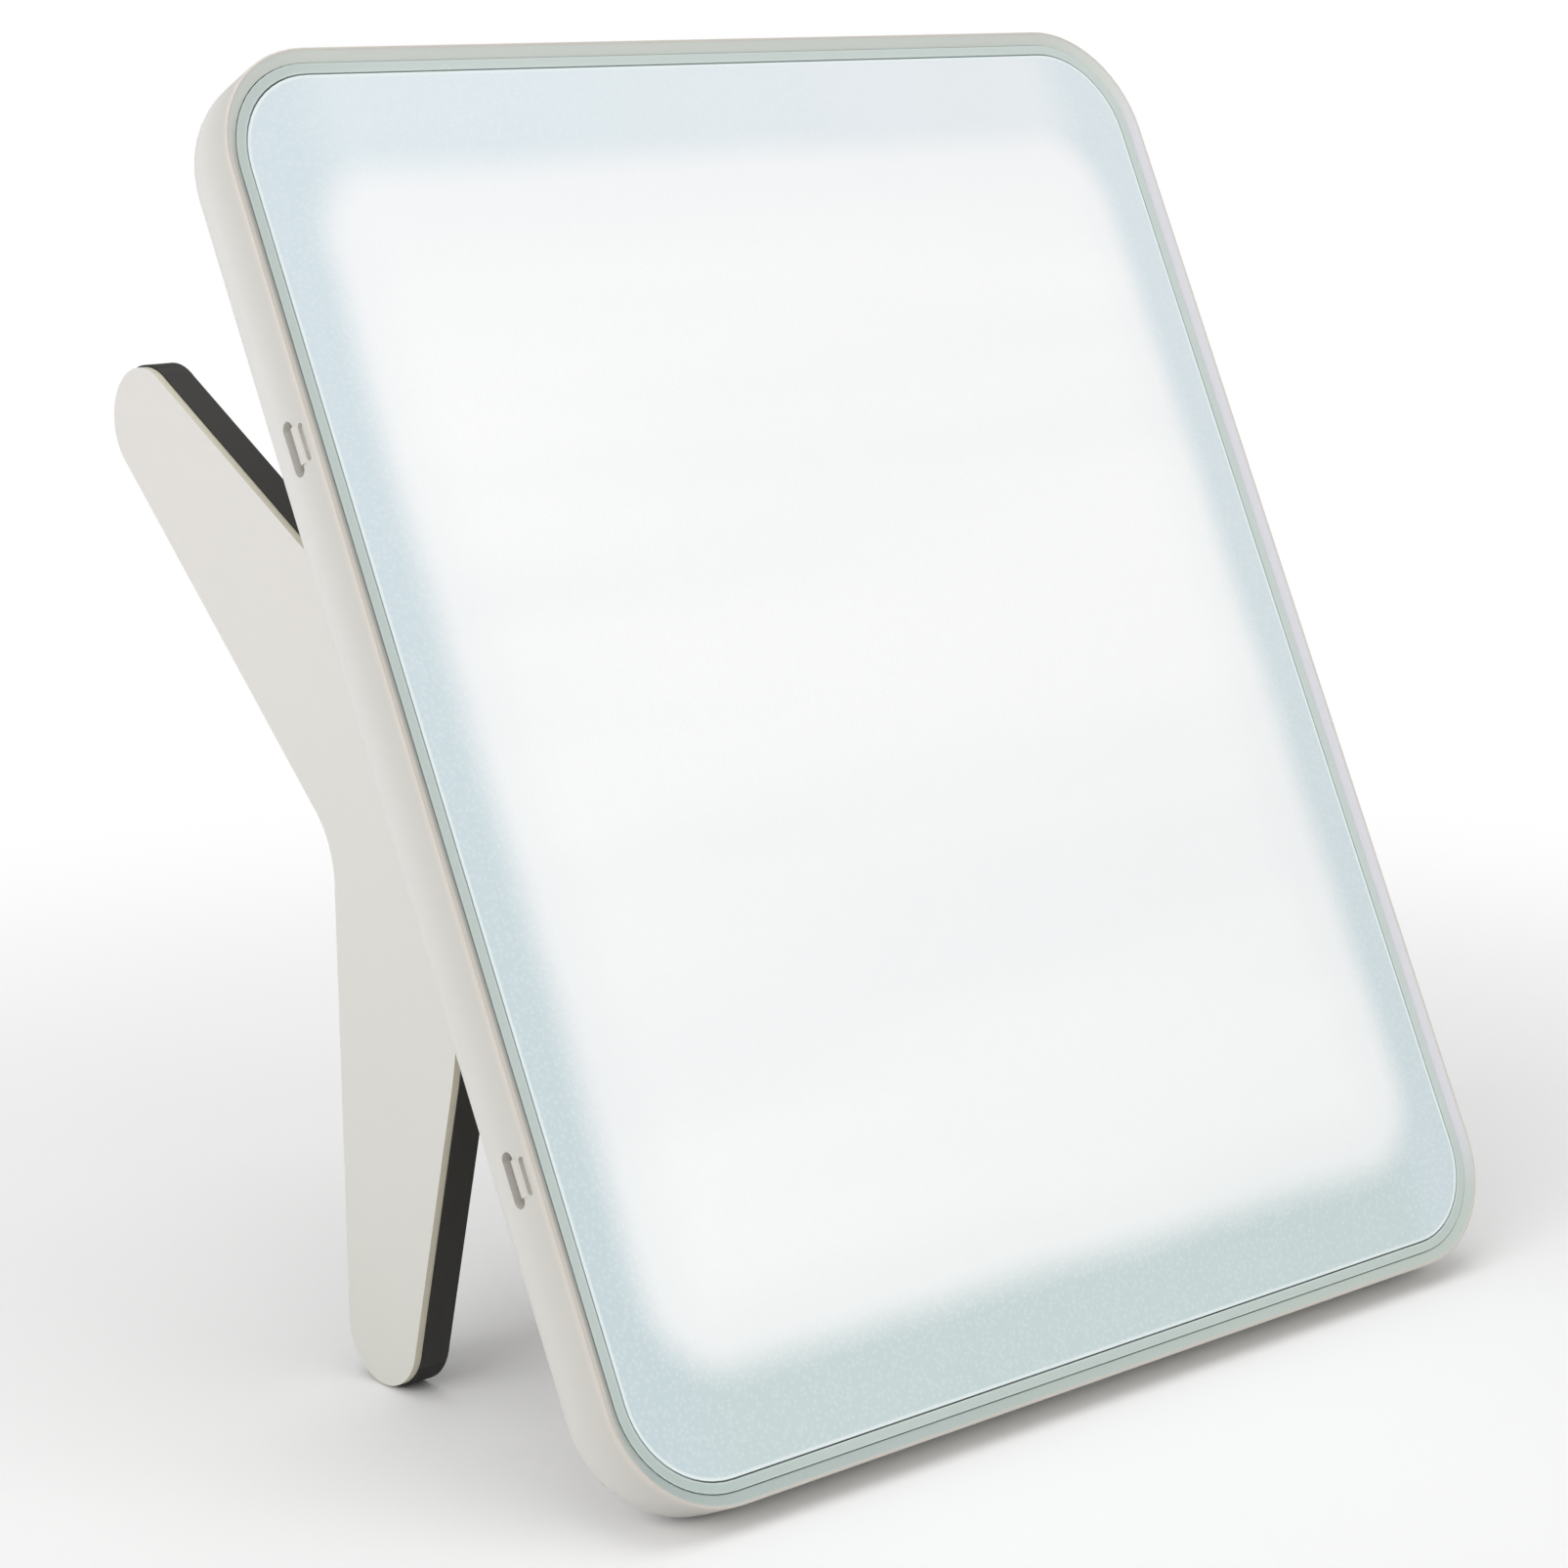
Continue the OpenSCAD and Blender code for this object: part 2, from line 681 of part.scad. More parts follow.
// Dark core with its knuckle, which turns on the hinge pin
module leg_core() {
    inner_x = axis_x - knuckle_r;
    outer_x = inner_x + core_t;
    color([0.18, 0.17, 0.15]) difference() {
        union() {
            across(inner_x, outer_x) difference() {
                leg_outline(0);
                foot_zone();
                hinge_notch(0);
                lug_notches();
            }
            translate([axis_x, axis_y, -knuckle_l / 2]) cylinder(r = knuckle_r, h = knuckle_l);
        }
        translate([axis_x, axis_y, -knuckle_l / 2 - cut])
            cylinder(r = pin_d / 2 + pin_gap, h = knuckle_l + 2 * cut);
    }
}

// Light cheek on the leg's outer side
module leg_cheek() {
    inner_x = axis_x - knuckle_r + core_t;
    color([0.87, 0.865, 0.84]) across(inner_x, inner_x + cheek_t) difference() {
        leg_outline(cheek_inset);
        hinge_notch(lug_clear_r);
    }
}

// Rubber feet that close off the core's two tips
module leg_feet() {
    inner_x = axis_x - knuckle_r;
    color([0.15, 0.15, 0.14]) across(inner_x, inner_x + core_t) intersection() {
        leg_outline(0);
        foot_zone();
    }
}

module left_leg_core() { placed() mirror([1, 0, 0]) leg_core(); }
module right_leg_core() { placed() leg_core(); }
module left_leg_cheek() { placed() mirror([1, 0, 0]) leg_cheek(); }
module right_leg_cheek() { placed() leg_cheek(); }
module left_leg_feet() { placed() mirror([1, 0, 0]) leg_feet(); }
module right_leg_feet() { placed() leg_feet(); }

// ---------------------------------------------------------------- the whole lamp

rear_housing();
front_frame();
rim_ring();
face_plate();
diffuser_sheet();
reflector_tray();
led_board();
leds();
led_board_screws();
driver_board();
driver_parts();
board_connector();
driver_board_screws();
dc_jack();
dc_jack_pin();
switch_body();
switch_plunger();
power_button();
left_hinge_bracket();
right_hinge_bracket();
bracket_screws();
left_hinge_pin();
right_hinge_pin();
left_friction_washers();
right_friction_washers();
left_leg_core();
right_leg_core();
left_leg_cheek();
right_leg_cheek();
left_leg_feet();
right_leg_feet();
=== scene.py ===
# %% [markdown]
# # A light therapy lamp
# A flat, glowing panel leans back on two bent legs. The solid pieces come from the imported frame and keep
# their shape and place. This lesson gives each of them its finish, adds the small details that are too fine
# for the frame, and lights the lamp as on a white studio table.

# %% Load the frame
import json
import math
import bpy
from mathutils import Matrix, Vector


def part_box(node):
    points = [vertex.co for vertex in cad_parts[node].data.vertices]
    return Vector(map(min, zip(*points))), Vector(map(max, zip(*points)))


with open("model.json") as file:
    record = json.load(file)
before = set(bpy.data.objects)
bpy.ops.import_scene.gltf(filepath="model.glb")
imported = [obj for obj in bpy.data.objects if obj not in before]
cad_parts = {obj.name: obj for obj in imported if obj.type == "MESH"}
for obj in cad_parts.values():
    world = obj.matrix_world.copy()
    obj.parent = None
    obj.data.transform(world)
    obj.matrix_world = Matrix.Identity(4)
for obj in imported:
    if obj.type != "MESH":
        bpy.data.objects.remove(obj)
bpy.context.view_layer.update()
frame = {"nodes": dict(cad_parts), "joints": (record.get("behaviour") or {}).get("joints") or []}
nodes = frame["nodes"]
print("nodes in the frame:", len(nodes))

# %% [markdown]
# The panel leans, so its finish can't be laid out along the world's axes. The hinges of the legs run along the
# panel, so the axis of one of them gives the panel's own upward direction. The face plate's box has its
# middle in the plate's middle, which gives the panel's own origin, on the front of the face.

# %% Find the panel's own directions
face_thickness = 0.0022
joints = {joint["name"]: joint for joint in frame["joints"]}
panel_up = Vector(joints["right_leg_fold"]["axis"]).normalized()
panel_right = Vector((1, 0, 0))
panel_back = panel_up.cross(panel_right).normalized()
low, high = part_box("face_plate")
face_centre = (low + high) / 2 - panel_back * face_thickness / 2
lean = math.degrees(math.atan2(panel_up.y, panel_up.z))
print("the panel leans back by", round(lean, 2), "degrees")
print("centre of its face:", [round(value, 4) for value in face_centre])

# %% [markdown]
# The sizes below repeat the frame's own, in metres, so that bands of colour follow the real edges. The last two
# aren't edges: how deep the painted shade along the front of the side wall reaches, and where the rim has its
# middle.

# %% Sizes of the panel's face
housing_half_width = 0.1125
housing_half_height = 0.1325
housing_corner = 0.022
plate_inset = 0.00485
plate_half_width = housing_half_width - plate_inset
plate_half_height = housing_half_height - plate_inset
plate_corner = housing_corner - plate_inset
lit_half_width = 0.096
lit_half_height = 0.1085
lit_corner = 0.014
lit_rise = -0.0005
front_shade_depth = 0.013
ring_middle = 0.0036
print("face plate:", round(2 * plate_half_width, 4), "by", round(2 * plate_half_height, 4))

# %% [markdown]
# Colours are written as sRGB values, which were adjusted until the picture came close to the photograph, but
# shader sockets want linear light. One small function turns the first into the second.

# %% Colours and a short way to place shader nodes
def srgb(red, green, blue):
    """Linear colour of an sRGB colour given from 0 to 255."""
    linear = []
    for value in (red, green, blue):
        share = value / 255
        linear.append(share / 12.92 if share <= 0.04045 else ((share + 0.055) / 1.055) ** 2.4)
    return (linear[0], linear[1], linear[2], 1.0)


def feed(tree, socket, value):
    """Link another socket into an input, or set the input to a constant."""
    if isinstance(value, bpy.types.NodeSocket):
        tree.links.new(value, socket)
    else:
        socket.default_value = value


def add(tree, kind, **settings):
    """Place a node in a tree. Settings named in0, in1 and so on fill its inputs, the rest its properties."""
    node = tree.nodes.new(kind)
    for name, value in settings.items():
        if name.startswith("in") and name[2:].isdigit():
            feed(tree, node.inputs[int(name[2:])], value)
        else:
            setattr(node, name, value)
    return node


def maths(tree, operation, first, second=0.0, third=0.0):
    """The value of one arithmetic node."""
    return add(tree, "ShaderNodeMath", operation=operation, in0=first, in1=second, in2=third).outputs[0]


def blend_colours(tree, share, first, second):
    """A colour between two colours."""
    mix = add(tree, "ShaderNodeMix", data_type="RGBA")
    for number, value in ((0, share), (6, first), (7, second)):
        feed(tree, mix.inputs[number], value)
    return mix.outputs[2]


def smooth_step(tree, value, start, end):
    """A mask that rises smoothly from 0 to 1 while the value runs from start to end."""
    node = add(tree, "ShaderNodeMapRange", interpolation_type="SMOOTHSTEP")
    for name, setting in (("Value", value), ("From Min", start), ("From Max", end)):
        feed(tree, node.inputs[name], setting)
    return node.outputs["Result"]


def new_group(name, inputs, outputs):
    """An empty node group with named sockets, and its input and output nodes."""
    group = bpy.data.node_groups.new(name, "ShaderNodeTree")
    for socket, kind, value in inputs:
        made = group.interface.new_socket(name=socket, in_out="INPUT", socket_type=kind)
        made.default_value = value
    for socket, kind in outputs:
        group.interface.new_socket(name=socket, in_out="OUTPUT", socket_type=kind)
    return group, group.nodes.new("NodeGroupInput"), group.nodes.new("NodeGroupOutput")


print("pale housing plastic in linear light:", [round(value, 3) for value in srgb(229, 226, 221)[:3]])

# %% [markdown]
# Moulded plastic is never quite even: the mould leaves a fine grain, and handling and cooling leave slow, faint
# changes in tone and gloss. Every plastic on the lamp shares that, so it is one group, and each material places
# it with its own scale and strength.

# %% Group: moulded grain
def build_moulded_grain():
    group, given, result = new_group(
        "moulded grain",
        [("Color", "NodeSocketColor", (0.8, 0.8, 0.8, 1)), ("Grain Scale", "NodeSocketFloat", 2500.0),
         ("Tone Change", "NodeSocketFloat", 0.03), ("Roughness", "NodeSocketFloat", 0.45),
         ("Roughness Change", "NodeSocketFloat", 0.06)],
        [("Color", "NodeSocketColor"), ("Roughness", "NodeSocketFloat"), ("Height", "NodeSocketFloat")])
    place = add(group, "ShaderNodeTexCoord")
    fine = add(group, "ShaderNodeTexNoise", in0=place.outputs["Object"])
    group.links.new(given.outputs["Grain Scale"], fine.inputs["Scale"])
    fine.inputs["Detail"].default_value = 3.0
    slow = add(group, "ShaderNodeTexNoise", in0=place.outputs["Object"])
    slow.inputs["Scale"].default_value = 28.0
    slow.inputs["Detail"].default_value = 4.0
    drift = maths(group, "SUBTRACT", slow.outputs["Fac"], 0.5)
    tone = maths(group, "MULTIPLY_ADD", drift, given.outputs["Tone Change"], 1.0)
    shade = add(group, "ShaderNodeVectorMath", operation="SCALE")
    group.links.new(given.outputs["Color"], shade.inputs[0])
    group.links.new(tone, shade.inputs["Scale"])
    gloss = maths(group, "MULTIPLY_ADD", drift, given.outputs["Roughness Change"], given.outputs["Roughness"])
    group.links.new(shade.outputs[0], result.inputs["Color"])
    group.links.new(gloss, result.inputs["Roughness"])
    group.links.new(fine.outputs["Fac"], result.inputs["Height"])
    return group


moulded_grain = build_moulded_grain()
print("built:", moulded_grain.name)

# %% [markdown]
# The face has things that follow its outline: the glow, the polished edge, the rim and the bevel. Each of them
# depends on how far a point lies inside a rectangle with round corners. The usual formula for that distance
# folds all four corners into one, so a few arithmetic nodes are enough.

# %% Group: distance inside a rounded rectangle on the panel
def build_inside_distance():
    group, given, result = new_group(
        "inside distance",
        [("Half Width", "NodeSocketFloat", 0.1), ("Half Height", "NodeSocketFloat", 0.1),
         ("Corner Radius", "NodeSocketFloat", 0.02), ("Rise", "NodeSocketFloat", 0.0)],
        [("Distance", "NodeSocketFloat"), ("Right", "NodeSocketFloat"), ("Up", "NodeSocketFloat"),
         ("Depth", "NodeSocketFloat")])
    place = add(group, "ShaderNodeTexCoord")
    from_centre = add(group, "ShaderNodeVectorMath", operation="SUBTRACT",
                      in0=place.outputs["Object"], in1=face_centre)
    right = add(group, "ShaderNodeVectorMath", operation="DOT_PRODUCT",
                in0=from_centre.outputs[0], in1=panel_right).outputs["Value"]
    up = add(group, "ShaderNodeVectorMath", operation="DOT_PRODUCT",
             in0=from_centre.outputs[0], in1=panel_up).outputs["Value"]
    depth = add(group, "ShaderNodeVectorMath", operation="DOT_PRODUCT",
                in0=from_centre.outputs[0], in1=panel_back).outputs["Value"]
    raised = maths(group, "SUBTRACT", up, given.outputs["Rise"])
    beyond = []
    for along, half in ((right, "Half Width"), (raised, "Half Height")):
        core = maths(group, "SUBTRACT", given.outputs[half], given.outputs["Corner Radius"])
        beyond.append(maths(group, "SUBTRACT", maths(group, "ABSOLUTE", along), core))
    squares = [maths(group, "POWER", maths(group, "MAXIMUM", value, 0.0), 2.0) for value in beyond]
    corner = maths(group, "SQRT", maths(group, "ADD", squares[0], squares[1]))
    side = maths(group, "MINIMUM", maths(group, "MAXIMUM", beyond[0], beyond[1]), 0.0)
    outside = maths(group, "SUBTRACT", maths(group, "ADD", corner, side), given.outputs["Corner Radius"])
    group.links.new(maths(group, "MULTIPLY", outside, -1.0), result.inputs["Distance"])
    group.links.new(right, result.inputs["Right"])
    group.links.new(up, result.inputs["Up"])
    group.links.new(depth, result.inputs["Depth"])
    return group


inside_distance = build_inside_distance()
print("built:", inside_distance.name)


# %% [markdown]
# A material here is a Principled shader fed by groups. The first helpers place a group, start a material and feed
# its bump, colour and roughness. The last two make a plain grained plastic or metal, and put a material on a node
# of the frame.

# %% A material with its shader and bump
def place_group(tree, group, **values):
    """Place a node group and set its named inputs, with spaces written as underscores."""
    node = tree.nodes.new("ShaderNodeGroup")
    node.node_tree = group
    for name, value in values.items():
        feed(tree, node.inputs[name.replace("_", " ")], value)
    return node


def new_material(name):
    """A node material with its shader."""
    material = bpy.data.materials.new(name)
    material.use_nodes = True
    tree = material.node_tree
    return material, tree, tree.nodes["Principled BSDF"]


def add_bump(tree, shader, height, strength, distance):
    """Feed a height to the shader's normal."""
    bump = add(tree, "ShaderNodeBump")
    bump.inputs["Strength"].default_value = strength
    bump.inputs["Distance"].default_value = distance
    tree.links.new(height, bump.inputs["Height"])
    tree.links.new(bump.outputs[0], shader.inputs["Normal"])


def add_surface(tree, shader, colour, roughness):
    """Feed a colour and a roughness to the shader."""
    tree.links.new(colour, shader.inputs["Base Color"])
    tree.links.new(roughness, shader.inputs["Roughness"])


def moulded_plastic(name, colour, roughness, grain=2500.0, bump=0.15, tone=0.03, metal=0.0):
    """Plastic or metal with a fine grain."""
    material, tree, shader = new_material(name)
    grained = place_group(tree, moulded_grain, Color=colour, Grain_Scale=grain, Tone_Change=tone,
                          Roughness=roughness)
    add_surface(tree, shader, grained.outputs["Color"], grained.outputs["Roughness"])
    shader.inputs["Metallic"].default_value = metal
    add_bump(tree, shader, grained.outputs["Height"], bump, 0.00005)
    return material


def dress(node, material):
    """Give one node of the frame a material in place of its plain one."""
    target = nodes[node]
    target.data.materials.clear()
    target.data.materials.append(material)


print("helpers for materials are ready")

# %% [markdown]
# The housing is one white shell, satin and a little warm. In the photograph its side gets greyer downwards and
# towards the front, a fine warm line runs along the very edge, and the bevel inside that line has a tint that
# changes from side to side. Bands of colour that follow the depth and the outline paint all of these in: the
# greying is painted shade, the warm line a painted highlight, and the bevel's tint painted light and shade.

# %% Housing
def build_housing_material():
    material, tree, shader = new_material("housing plastic")
    edge = place_group(tree, inside_distance, Half_Width=housing_half_width,
                       Half_Height=housing_half_height, Corner_Radius=housing_corner)
    depth = edge.outputs["Depth"]
    distance = edge.outputs["Distance"]
    # Painted shade: the shell gets greyer downwards
    upwards = smooth_step(tree, edge.outputs["Up"], -0.14, 0.13)
    shell = blend_colours(tree, upwards, srgb(212, 210, 205), srgb(227, 225, 222))
    grained = place_group(tree, moulded_grain, Color=shell, Grain_Scale=2200.0,
                          Tone_Change=0.03, Roughness=0.42, Roughness_Change=0.06)
    # Painted shade: the side wall gets greyer towards the front
    front_wall_shade = smooth_step(tree, depth, front_shade_depth, 0.0)
    colour = blend_colours(tree, maths(tree, "MULTIPLY", front_wall_shade, 0.6), grained.outputs["Color"],
                           srgb(190, 187, 179))
    # Painted highlight: a fine warm line along the very edge
    edge_highlight = smooth_step(tree, depth, 0.0006, -0.0004)
    colour = blend_colours(tree, maths(tree, "MULTIPLY", edge_highlight, 0.3), colour, srgb(221, 210, 198))
    # Painted light and shade on the bevel: shaded grey beside the ring on the left, lit cool white on the right,
    # shaded greenish grey above and below
    to_right = smooth_step(tree, edge.outputs["Right"], -0.09, 0.09)
    below = smooth_step(tree, edge.outputs["Up"], -0.105, -0.125)
    above = smooth_step(tree, edge.outputs["Up"], 0.105, 0.125)
    ring_side_shade = smooth_step(tree, distance, 0.0010, 0.0021)
    left_bevel_shade = blend_colours(tree, ring_side_shade, srgb(219, 213, 204), srgb(176, 175, 168))
    bevel = blend_colours(tree, to_right, left_bevel_shade, srgb(217, 217, 222))
    bevel = blend_colours(tree, above, bevel, srgb(214, 218, 212))
    bevel_below_shade = blend_colours(tree, to_right, srgb(178, 190, 186), srgb(190, 200, 193))
    bevel = blend_colours(tree, below, bevel, bevel_below_shade)
    on_bevel = maths(tree, "MULTIPLY", smooth_step(tree, distance, 0.0004, 0.0008),
                     smooth_step(tree, depth, 0.0012, 0.0004))
    colour = blend_colours(tree, on_bevel, colour, bevel)
    add_surface(tree, shader, colour, grained.outputs["Roughness"])
    add_bump(tree, shader, grained.outputs["Height"], 0.2, 0.00005)
    return material


dress("rear_housing", build_housing_material())
print("housing dressed")

# %% [markdown]
# The rim is a pale green-grey ring, as thick clear plastic looks at its edge. It has painted shade along its
# lower side and its left side, and its two edges are softer, with a painted highlight that makes them lighter
# than its middle.

# %% Rim ring
def build_rim_material():
    material, tree, shader = new_material("pale green rim")
    edge = place_group(tree, inside_distance, Half_Width=housing_half_width,
                       Half_Height=housing_half_height, Corner_Radius=housing_corner)
    # Painted shade: darker along the lower side and the left side
    below = smooth_step(tree, edge.outputs["Up"], -0.10, -0.125)
    to_right = smooth_step(tree, edge.outputs["Right"], -0.11, -0.06)
    beside = blend_colours(tree, to_right, srgb(194, 206, 202), srgb(206, 217, 213))
    underneath = blend_colours(tree, to_right, srgb(184, 199, 194), srgb(196, 208, 203))
    green = blend_colours(tree, below, beside, underneath)
    grained = place_group(tree, moulded_grain, Color=green, Grain_Scale=1800.0,
                          Tone_Change=0.04, Roughness=0.26, Roughness_Change=0.08)
    # Painted highlight on the rim's two edges, which the bump also softens
    from_middle = maths(tree, "ABSOLUTE", maths(tree, "SUBTRACT", edge.outputs["Distance"], ring_middle))
    rounded_edge_highlight = smooth_step(tree, from_middle, 0.0004, 0.0010)
    colour = blend_colours(tree, maths(tree, "MULTIPLY", rounded_edge_highlight, 0.4), grained.outputs["Color"],
                           srgb(218, 228, 225))
    add_surface(tree, shader, colour, grained.outputs["Roughness"])
    add_bump(tree, shader, maths(tree, "MULTIPLY_ADD", rounded_edge_highlight, -0.5, grained.outputs["Height"]), 0.3, 0.0001)
    return material


dress("rim_ring", build_rim_material())
print("rim dressed")

# %% [markdown]
# The face is a frosted plate. The diodes behind it light the middle almost white with a soft edge, and the
# margin stays a cool pale grey, with painted light and shade. A real plate scatters the light inside it. Here the
# same look comes from a soft mask that paints the light into the colour and also feeds a gentle glow. Its
# frosting is a fine stipple, and a painted highlight runs along its edge.

# %% Frosted face
def build_margin_colour(tree, edge):
    """The unlit margin, with painted light and shade: bluer at its sides, greener below, and lighter upwards and
    to the right.
    """
    upwards = smooth_step(tree, edge.outputs["Up"], -0.13, 0.13)
    to_right = smooth_step(tree, edge.outputs["Right"], -0.10, 0.10)
    above = blend_colours(tree, to_right, srgb(228, 239, 244), srgb(239, 244, 247))
    margin = blend_colours(tree, upwards, srgb(205, 220, 220), above)
    beside = blend_colours(tree, upwards, srgb(204, 220, 225), srgb(216, 230, 236))
    beside = blend_colours(tree, maths(tree, "MULTIPLY", to_right, 0.25), beside, srgb(236, 243, 246))
    at_side = smooth_step(tree, maths(tree, "ABSOLUTE", edge.outputs["Right"]), 0.084, 0.099)
    return blend_colours(tree, maths(tree, "MULTIPLY", at_side, 0.85), margin, beside), upwards


def build_face_material():
    material, tree, shader = new_material("frosted face")
    lit = place_group(tree, inside_distance, Half_Width=lit_half_width, Half_Height=lit_half_height,
                      Corner_Radius=lit_corner, Rise=lit_rise)
    edge = place_group(tree, inside_distance, Half_Width=plate_half_width,
                       Half_Height=plate_half_height, Corner_Radius=plate_corner)
    margin, upwards = build_margin_colour(tree, edge)
    grained = place_group(tree, moulded_grain, Color=margin, Grain_Scale=1500.0,
                          Tone_Change=0.03, Roughness=0.38, Roughness_Change=0.05)
    # A coarse stipple of light specks shows in the margins, where the glow doesn't wash it out
    place = add(tree, "ShaderNodeTexCoord")
    stipple = add(tree, "ShaderNodeTexVoronoi", in0=place.outputs["Object"])
    stipple.inputs["Scale"].default_value = 1000.0
    speck = smooth_step(tree, stipple.outputs["Distance"], 0.55, 0.2)
    specked = blend_colours(tree, maths(tree, "MULTIPLY", speck, 0.2), grained.outputs["Color"],
                            srgb(242, 248, 250))
    # The soft edge of the glow wanders a little, as the light leaks round the tray
    wander = add(tree, "ShaderNodeTexNoise", in0=place.outputs["Object"])
    wander.inputs["Scale"].default_value = 16.0
    wander.inputs["Detail"].default_value = 2.0
    shifted = maths(tree, "MULTIPLY_ADD", maths(tree, "SUBTRACT", wander.outputs["Fac"], 0.5), 0.005,
                    lit.outputs["Distance"])
    core = smooth_step(tree, shifted, -0.0065, 0.0035)
    tail = smooth_step(tree, shifted, -0.001, 0.017)
    glow = maths(tree, "MULTIPLY_ADD", core, 0.84, maths(tree, "MULTIPLY", tail, 0.16))
    # Faint slanting streaks, the drawn grain of the diffuser behind the plate
    slant = add(tree, "ShaderNodeMapping", in0=place.outputs["Object"])
    slant.inputs["Rotation"].default_value = (0.0, math.radians(38), 0.0)
    slant.inputs["Scale"].default_value = (3.0, 1.0, 26.0)
    streaks = add(tree, "ShaderNodeTexNoise", in0=slant.outputs[0])
    streaks.inputs["Scale"].default_value = 1.0
    streaks.inputs["Detail"].default_value = 2.0
    streak = smooth_step(tree, streaks.outputs["Fac"], 0.35, 0.65)
    bright = blend_colours(tree, streak, srgb(224, 225, 226), srgb(229, 230, 230))
    # Painted highlight along the plate's edge
    plate_edge_highlight = smooth_step(tree, edge.outputs["Distance"], 0.0008, 0.0003)
    # The diodes' light is painted into the colour of the lit middle
    colour = blend_colours(tree, glow, specked, bright)
    colour = blend_colours(tree, maths(tree, "MULTIPLY", plate_edge_highlight, 0.85), colour, srgb(240, 249, 249))
    add_surface(tree, shader, colour, grained.outputs["Roughness"])
    light = blend_colours(tree, upwards, (0.19, 0.19, 0.189, 1), (0.225, 0.222, 0.221, 1))
    tree.links.new(blend_colours(tree, glow, (0, 0, 0, 1), light), shader.inputs["Emission Color"])
    shader.inputs["Emission Strength"].default_value = 1.0
    height = maths(tree, "MULTIPLY_ADD", stipple.outputs["Distance"], 0.8, grained.outputs["Height"])
    add_bump(tree, shader, height, 0.3, 0.0001)
    return material


dress("face_plate", build_face_material())
print("face dressed")

# %% [markdown]
# The legs are a dark, slightly rubbery core with a pale cheek on the outside. The cheek's narrow edge
# catches the light as a cream line, painted as a highlight: the part of the cheek whose surface doesn't face
# sideways is warmer.
# The cheek gets a little darker downwards, which is painted shade.

# %% Legs
def build_cheek_material():
    material, tree, shader = new_material("leg cheek plastic")
    place = add(tree, "ShaderNodeTexCoord")
    height_up = add(tree, "ShaderNodeSeparateXYZ", in0=place.outputs["Object"]).outputs["Z"]
    # Painted shade: the cheek gets darker downwards
    pale = blend_colours(tree, smooth_step(tree, height_up, -0.02, 0.2), srgb(209, 208, 201),
                         srgb(222, 219, 215))
    grained = place_group(tree, moulded_grain, Color=pale, Grain_Scale=2200.0,
                          Tone_Change=0.03, Roughness=0.42, Roughness_Change=0.06)
    normal = add(tree, "ShaderNodeSeparateXYZ", in0=place.outputs["Normal"])
    # Painted highlight: the cheek's narrow edge is warmer where it catches the light
    edge_highlight = smooth_step(tree, maths(tree, "ABSOLUTE", normal.outputs["X"]), 0.8, 0.4)
    colour = blend_colours(tree, edge_highlight, grained.outputs["Color"], srgb(214, 209, 190))
    add_surface(tree, shader, colour, grained.outputs["Roughness"])
    add_bump(tree, shader, grained.outputs["Height"], 0.2, 0.00005)
    return material


cheek_plastic = build_cheek_material()
core_plastic = moulded_plastic("leg core", srgb(38, 36, 32), 0.62, grain=1600.0, bump=0.35, tone=0.15)
foot_rubber = moulded_plastic("foot rubber", srgb(33, 32, 30), 0.78, grain=1200.0, bump=0.45, tone=0.15)
for side in ("left", "right"):
    dress(side + "_leg_cheek", cheek_plastic)
    dress(side + "_leg_core", core_plastic)
    dress(side + "_leg_feet", foot_rubber)
print("legs dressed")

# %% [markdown]
# The hinges, the inlet and the button are small, but the back of the lamp shows them.

# %% Hinges, inlet and button
hinge_plastic = moulded_plastic("hinge bracket", srgb(58, 56, 52), 0.5, grain=1800.0, bump=0.3, tone=0.1)
steel = moulded_plastic("steel", srgb(196, 196, 194), 0.28, grain=3500.0, bump=0.08, metal=1.0)
washer_plastic = moulded_plastic("washer", srgb(190, 186, 172), 0.5)
black_plastic = moulded_plastic("black plastic", srgb(40, 40, 41), 0.45, tone=0.1)
contact_brass = moulded_plastic("contact brass", srgb(222, 188, 120), 0.22, metal=1.0)
button_plastic = moulded_plastic("button plastic", srgb(222, 221, 217), 0.38)
for side in ("left", "right"):
    dress(side + "_hinge_bracket", hinge_plastic)
    dress(side + "_hinge_pin", steel)
    dress(side + "_friction_washers", washer_plastic)
for node in ("bracket_screws", "led_board_screws", "driver_board_screws"):
    dress(node, steel)
for node in ("dc_jack", "switch_body", "switch_plunger"):
    dress(node, black_plastic)
dress("dc_jack_pin", contact_brass)
dress("power_button", button_plastic)
print("small parts dressed")

# %% [markdown]
# Inside, hidden until the lamp is taken apart, are the white tray, the frame, whose warm grey shows in the side
# windows, the diodes on their metal board, and the driver's board.

# %% Inner parts
inner_white = moulded_plastic("inner white", srgb(240, 240, 238), 0.6)
frame_plastic = moulded_plastic("inner frame", srgb(188, 178, 167), 0.6)
diffuser_film = moulded_plastic("diffuser film", srgb(244, 244, 243), 0.7)
board_metal = moulded_plastic("board metal", srgb(205, 205, 206), 0.35, grain=4000.0, metal=1.0)
circuit_green = moulded_plastic("circuit board", srgb(32, 104, 62), 0.4, tone=0.1)
component_black = moulded_plastic("components", srgb(52, 52, 54), 0.5)
connector_ivory = moulded_plastic("connector", srgb(232, 228, 210), 0.45)
diode_yellow = moulded_plastic("diodes", srgb(246, 232, 160), 0.3, tone=0.1)
for node, material in (("front_frame", frame_plastic), ("reflector_tray", inner_white),
                       ("diffuser_sheet", diffuser_film), ("led_board", board_metal),
                       ("driver_board", circuit_green), ("driver_parts", component_black),
                       ("board_connector", connector_ivory), ("leds", diode_yellow)):
    dress(node, material)
print("inner parts dressed")

# %% [markdown]
# The table is white and runs into a white room, as in a studio. Far from the lamp the floor simply
# shows white to the camera. Near it, the floor is lit as usual and keeps the lamp's shadow.

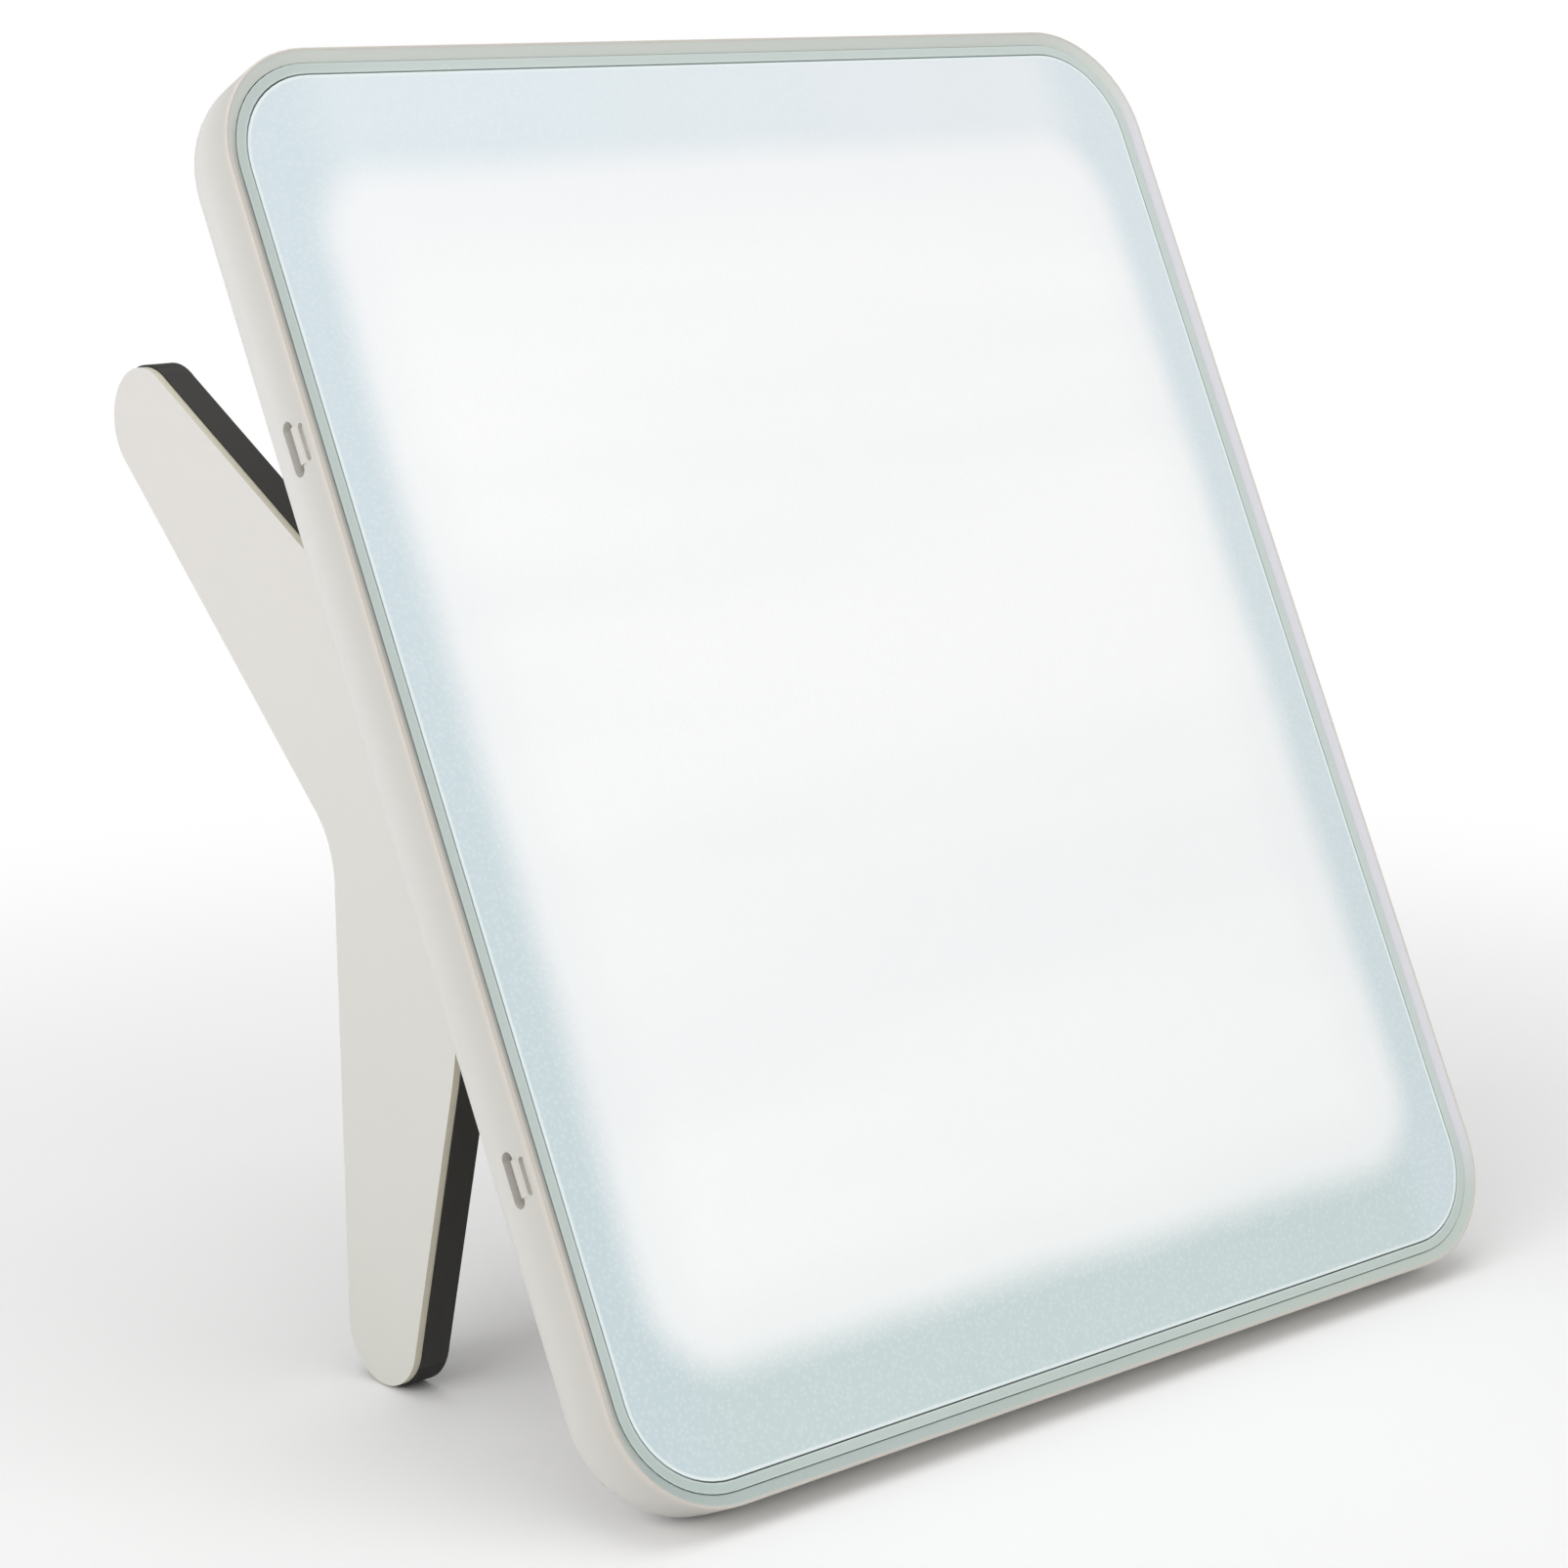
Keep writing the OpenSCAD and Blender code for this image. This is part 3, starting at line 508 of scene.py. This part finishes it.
# %% Floor and room
def build_floor_material():
    material, tree, shader = new_material("studio floor")
    shader.inputs["Roughness"].default_value = 0.9
    shader.inputs["Specular IOR Level"].default_value = 0.1
    place = add(tree, "ShaderNodeTexCoord")
    distance = add(tree, "ShaderNodeVectorMath", operation="LENGTH",
                   in0=place.outputs["Object"]).outputs["Value"]
    mottled = add(tree, "ShaderNodeTexNoise", in0=place.outputs["Object"])
    mottled.inputs["Scale"].default_value = 6.0
    tree.links.new(blend_colours(tree, mottled.outputs["Fac"], srgb(244, 244, 244), srgb(248, 248, 248)),
                   shader.inputs["Base Color"])
    path = add(tree, "ShaderNodeLightPath")
    far = smooth_step(tree, distance, 0.15, 0.5)
    to_camera = maths(tree, "MULTIPLY", far, path.outputs["Is Camera Ray"])
    white = add(tree, "ShaderNodeEmission", in0=(1, 1, 1, 1), in1=1.0)
    mix = add(tree, "ShaderNodeMixShader", in0=to_camera, in1=shader.outputs[0], in2=white.outputs[0])
    tree.links.new(mix.outputs[0], tree.nodes["Material Output"].inputs["Surface"])
    return material


floor_half = 6.0
corners = [(-floor_half, -floor_half, 0), (floor_half, -floor_half, 0),
           (floor_half, floor_half, 0), (-floor_half, floor_half, 0)]
floor_mesh = bpy.data.meshes.new("floor")
floor_mesh.from_pydata(corners, [], [(0, 1, 2, 3)])
floor = bpy.data.objects.new("floor", floor_mesh)
bpy.context.scene.collection.objects.link(floor)
floor.data.materials.append(build_floor_material())

world = bpy.data.worlds.new("studio room")
bpy.context.scene.world = world
world.use_nodes = True
room = world.node_tree
background = room.nodes["Background"]
path = add(room, "ShaderNodeLightPath")
strength = maths(room, "MULTIPLY_ADD", path.outputs["Is Camera Ray"], 0.45, 0.55)
background.inputs["Color"].default_value = (1, 1, 1, 1)
room.links.new(strength, background.inputs["Strength"])
print("floor and room ready")

# %% [markdown]
# Three large, soft lamps light it: one from the left for the side wall and leg, one from above, and a weak one
# from the front.

# %% Lights
def soft_light(name, place, aim, size, power):
    """A square area lamp that points at a given spot."""
    data = bpy.data.lights.new(name, "AREA")
    data.size = size
    data.energy = power
    lamp = bpy.data.objects.new(name, data)
    bpy.context.scene.collection.objects.link(lamp)
    lamp.location = place
    lamp.rotation_euler = (Vector(aim) - Vector(place)).to_track_quat("-Z", "Y").to_euler()
    return lamp


lamp_middle = (0, 0, 0.12)
soft_light("left light", (-1.6, -0.2, 0.9), lamp_middle, 1.3, 12.0)
soft_light("top light", (0.0, 0.0, 1.8), lamp_middle, 1.4, 9.0)
soft_light("front light", (0.5, -1.7, 0.9), lamp_middle, 1.3, 4.0)

# %% [markdown]
# The camera stands to the left of the lamp and looks slightly down. Its place and focal length come from
# matching the outline of the face plate to the photograph. That match came out better with the middle of the
# perspective off the middle of the picture, which the camera's shift gives.

# %% Camera
camera_place = Vector((-0.4701, -0.5343, 0.2532))
camera_azimuth = 41.1
camera_down = 14.37
camera_roll = -0.53
camera_data = bpy.data.cameras.new("camera")
camera_data.sensor_width = 36.0
camera_data.lens = 85.58
camera_data.shift_y = 0.1
camera_data.clip_start = 0.01
camera = bpy.data.objects.new("camera", camera_data)
bpy.context.scene.collection.objects.link(camera)
turn = Matrix.Rotation(math.radians(-camera_azimuth), 4, "Z")
tip = Matrix.Rotation(math.radians(90 - camera_down), 4, "X")
roll = Matrix.Rotation(math.radians(camera_roll), 4, "Z")
camera.matrix_world = Matrix.Translation(camera_place) @ turn @ tip @ roll
bpy.context.scene.camera = camera
bpy.context.scene.view_settings.view_transform = "Standard"
print("camera looks down by", camera_down, "degrees")
